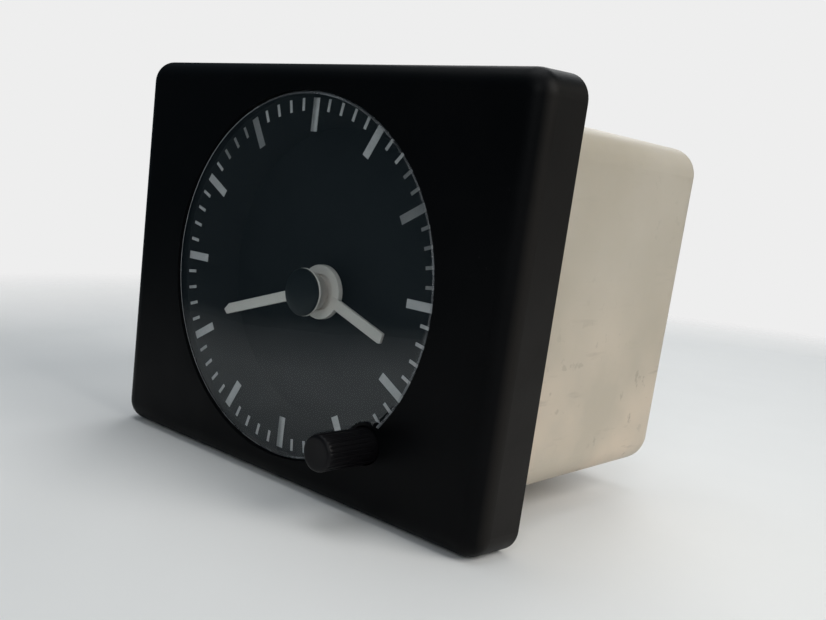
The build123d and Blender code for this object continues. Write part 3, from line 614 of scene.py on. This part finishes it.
# The hour hand grows out of a short drum with rounded rims and a recess in its front.
bm = bmesh.new()
blade = [(3.3, -0.975), (15.6, -0.975), (16.1, -0.7), (15.925, 0.975), (3.3, 0.975)]
add_plate(bm, spun(blade, HOUR_ANGLE, HAND_AXIS), -2.79, -2.3, bevel=0.16)
drum = [(1.52, -2.2), (2.95, -2.2), (3.1, -2.75), (4.45, -2.75), (4.6, -2.68), (4.65, -2.55)]
drum += [(4.65, -1.75), (4.5, -1.6), (1.52, -1.6)]
add_turned(bm, drum, HAND_AXIS, closed=True)
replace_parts(finish_mesh("hour_hand_blade", bm, "hand_white", "hour_arbor"), "hour_hand")

# The cap is a low dome with a rounded rim.
dome = [(0.0, -7.30), (1.4, -7.28), (2.6, -7.20), (3.5, -7.05), (3.9, -6.90), (4.0, -6.75)]
dome += [(4.0, -6.66), (3.95, -6.60), (0.0, -6.60)]
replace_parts(turned("hand_cap_dome", dome, HAND_AXIS, "cap_black", "minute_arbor"), "hand_cap")


# ---------------------------------------------------------------- setting knob

# The knob's grip has shallow rounded flutes between a plain front rim and a plain collar.
bm = bmesh.new()
FLUTES = 24
PER_FLUTE = 8
SPAN = FLUTES * PER_FLUTE
FLUTE_DEPTH = 0.13
FLUTE_SHAPE = 0.7
# Each row is a radius, a depth, and how far the flutes are cut there.
grip = [
    (0.0, -20.42, 0.0),
    (1.5, -20.44, 0.0),
    (2.2, -20.50, 0.0),
    (2.50, -20.47, 0.0),
    (2.72, -20.32, 0.0),
    (2.84, -20.08, 0.3),
    (2.90, -19.75, 0.9),
    (2.90, -19.2, 1.0),
    (2.90, -15.0, 1.0),
    (2.90, -11.6, 1.0),
    (2.90, -11.1, 0.7),
    (2.90, -10.8, 0.0),
    (2.90, -7.9, 0.0),
    (2.80, -7.8, 0.0),
    (1.02, -7.8, 0.0),
]
rings = []
for radius, depth, flute in grip:
    if radius < 1e-6:
        rings.append([bm.verts.new((KNOB_AXIS[0], depth, KNOB_AXIS[1]))] * SPAN)
        continue
    ring = []
    for step in range(SPAN):
        phase = math.cos(2 * math.pi * (step % PER_FLUTE) / PER_FLUTE)
        dip = FLUTE_DEPTH * flute * max(0.0, phase) ** FLUTE_SHAPE
        ring.append(spot(bm, KNOB_AXIS, radius - dip, 2 * math.pi * step / SPAN, depth))
    rings.append(ring)
for first, second in zip(rings, rings[1:]):
    for step in range(SPAN):
        after = (step + 1) % SPAN
        corners = []
        for corner in (first[step], first[after], second[after], second[step]):
            if corner not in corners:
                corners.append(corner)
        bm.faces.new(corners)
bm.faces.new(reversed(rings[-1]))
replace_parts(finish_mesh("setting_knob_grip", bm, "knob_black", "knob", sharp=40), "setting_knob")


# ---------------------------------------------------------------- studs and lamp holder


def add_threaded_rod(bm, at, start, tip, radius):
    """Add a rod with a helical thread, its tip tapered."""
    pitch = 0.7
    depth = 0.38
    segments = 40
    turns = (tip - start) / pitch
    rows = int(turns * 10)
    rings = []
    for row in range(rows + 1):
        ring = []
        base = start + (tip - start) * row / rows
        taper = min(1.0, (tip - base) / 0.7)
        for step in range(segments):
            turn = 2 * math.pi * step / segments
            wave = abs(((base / pitch - step / segments) % 1.0) * 2 - 1)
            reach = radius - depth * (1 - wave) - 0.30 * (1 - taper)
            ring.append(spot(bm, at, reach, turn, base))
        rings.append(ring)
    join_rings(bm, rings)


STUD_RADIUS = 2.0
STUD_LENGTH = 12.0
HEAD_REACH = 3.6
bm = bmesh.new()
for place in STUD_AXES:
    add_threaded_rod(bm, place, HOUSING_REAR - 2.0, HOUSING_REAR + STUD_LENGTH, STUD_RADIUS)
    hexagon = []
    for corner in range(6):
        turn = corner * math.pi / 3
        x = place[0] + HEAD_REACH * math.cos(turn)
        hexagon.append((x, place[1] + HEAD_REACH * math.sin(turn)))
    add_plate(bm, hexagon, HOUSING_REAR - 4.0, HOUSING_REAR - 1.82, bevel=0.3)
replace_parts(finish_mesh("threaded_studs", bm, "zinc_steel", "case", sharp=50), "mounting_studs")

# The lamp holder is a cup with a ribbed flange and a bar to turn it by.
bm = bmesh.new()
cup = [(0.0, -1.0), (2.62, -1.0), (2.62, -9.0), (6.1, -9.0), (6.3, -8.8), (6.3, 0.1), (7.55, 0.1)]
cup += [(7.75, 0.35), (7.75, 2.25), (7.45, 2.6), (0.0, 2.6)]
add_turned(bm, [(radius, HOUSING_REAR + depth) for radius, depth in cup], LAMP_AXIS)
RIBS = 30
for rib in range(RIBS):
    rib_shape = [(7.6, -0.32), (8.0, -0.2), (8.0, 0.2), (7.6, 0.32)]
    outline = spun(rib_shape, 360 * rib / RIBS, LAMP_AXIS)
    add_plate(bm, outline, HOUSING_REAR + 0.35, HOUSING_REAR + 2.2, bevel=0.08, rear_bevel=0.08)
bar = [(-5.5, -1.1), (5.5, -1.1), (5.5, 1.1), (-5.5, 1.1)]
add_plate(bm, spun(bar, 90, LAMP_AXIS), HOUSING_REAR + 2.4, HOUSING_REAR + 6.6, rear_bevel=0.45)
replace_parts(finish_mesh("ribbed_lamp_holder", bm, "lamp_grey", "case"), "lamp_holder")

# The return spring is a coil of round wire, made here at one length; in the clock it shortens as
# the knob is pushed in.
SPRING_FRONT = 7.3
SPRING_REAR = 16.0
SPRING_RADIUS = 1.6
SPRING_WIRE = 0.18
TURNS = 7
STEPS = TURNS * 40
SIDES = 12
span = SPRING_REAR - SPRING_FRONT - 2 * SPRING_WIRE
bm = bmesh.new()
rings = []
for step in range(STEPS + 1):
    turn = 2 * math.pi * TURNS * step / STEPS
    depth = SPRING_FRONT + SPRING_WIRE + span * step / STEPS
    ring = []
    for side in range(SIDES):
        around = 2 * math.pi * side / SIDES
        reach = SPRING_RADIUS + SPRING_WIRE * math.cos(around)
        ring.append(spot(bm, KNOB_AXIS, reach, turn, depth + SPRING_WIRE * math.sin(around)))
    rings.append(ring)
join_rings(bm, rings)
spring = finish_mesh("coil_spring", bm, "spring_steel", "case")
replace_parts(spring, "return_spring")
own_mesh(spring)

# The blades' sheared edges are eased a little.
ease = NODES["terminal_blades"].modifiers.new("eased_edges", "BEVEL")
ease.width = 0.12 * MM
ease.segments = 2
ease.limit_method = "ANGLE"
ease.angle_limit = math.radians(40)


# ---------------------------------------------------------------- floor, lights and camera

low = CAD_BOX[0][2]
bpy.ops.mesh.primitive_plane_add(size=6, location=(0, 0, low))
floor = bpy.context.object
floor.name = "floor"
floor.data.materials.append(floor_material())


def lamp(name, place, target, size, power, colour=(1, 1, 1)):
    """Add a square soft light that faces a target."""
    light = bpy.data.lights.new(name, "AREA")
    light.shape = "SQUARE"
    light.size = size
    light.energy = power
    light.color = colour
    obj = bpy.data.objects.new(name, light)
    SCENE.collection.objects.link(obj)
    obj.location = place
    obj.rotation_euler = (Vector(target) - Vector(place)).to_track_quat("-Z", "Y").to_euler()
    return obj


lamp("key", (0.46, 0.10, 0.34), (0.02, 0.02, 0.0), 0.36, 2.15, (1.0, 0.975, 0.93))
lamp("top", (-0.05, 0.05, 0.62), (0, 0.02, 0), 0.5, 1.8, (0.96, 0.98, 1.0))
lamp("front", (0.34, -0.60, 0.36), (0, 0, 0), 0.30, 1.2, (0.97, 0.99, 1.0))
lamp("back", (-0.30, 0.60, 0.35), (0, 0.03, 0), 0.45, 1.5)
lamp("spark", (0.20, -0.25, 0.35), (0.03, 0, 0.02), 0.02, 0.06)

world = bpy.data.worlds.new("studio")
SCENE.world = world
world.use_nodes = True
tree = world.node_tree
tree.nodes.clear()
out = tree.nodes.new("ShaderNodeOutputWorld")
dim = tree.nodes.new("ShaderNodeBackground")
dim.inputs["Color"].default_value = (0.55, 0.82, 1.0, 1)
dim.inputs["Strength"].default_value = 0.10
pale = tree.nodes.new("ShaderNodeBackground")
pale.inputs["Color"].default_value = (0.90, 0.90, 0.90, 1)
pale.inputs["Strength"].default_value = 0.95
path = tree.nodes.new("ShaderNodeLightPath")
mix = tree.nodes.new("ShaderNodeMixShader")
tree.links.new(path.outputs["Is Camera Ray"], mix.inputs[0])
tree.links.new(dim.outputs[0], mix.inputs[1])
tree.links.new(pale.outputs[0], mix.inputs[2])
tree.links.new(mix.outputs[0], out.inputs[0])

SCENE.view_settings.view_transform = "Standard"

# The camera stands close, to the right of the object.
camera_data = bpy.data.cameras.new("camera")
camera_data.sensor_width = 36.0
camera_data.lens = 43.178
camera_data.clip_start = 0.01
camera_data.clip_end = 20
camera_data.shift_x = 0.1191
camera_data.shift_y = 0.0789
camera = bpy.data.objects.new("camera", camera_data)
SCENE.collection.objects.link(camera)
camera.location = (0.11779, -0.12248, 0.01793)
camera.rotation_euler = (math.radians(78.262), math.radians(-6.418), math.radians(45.544))
SCENE.camera = camera
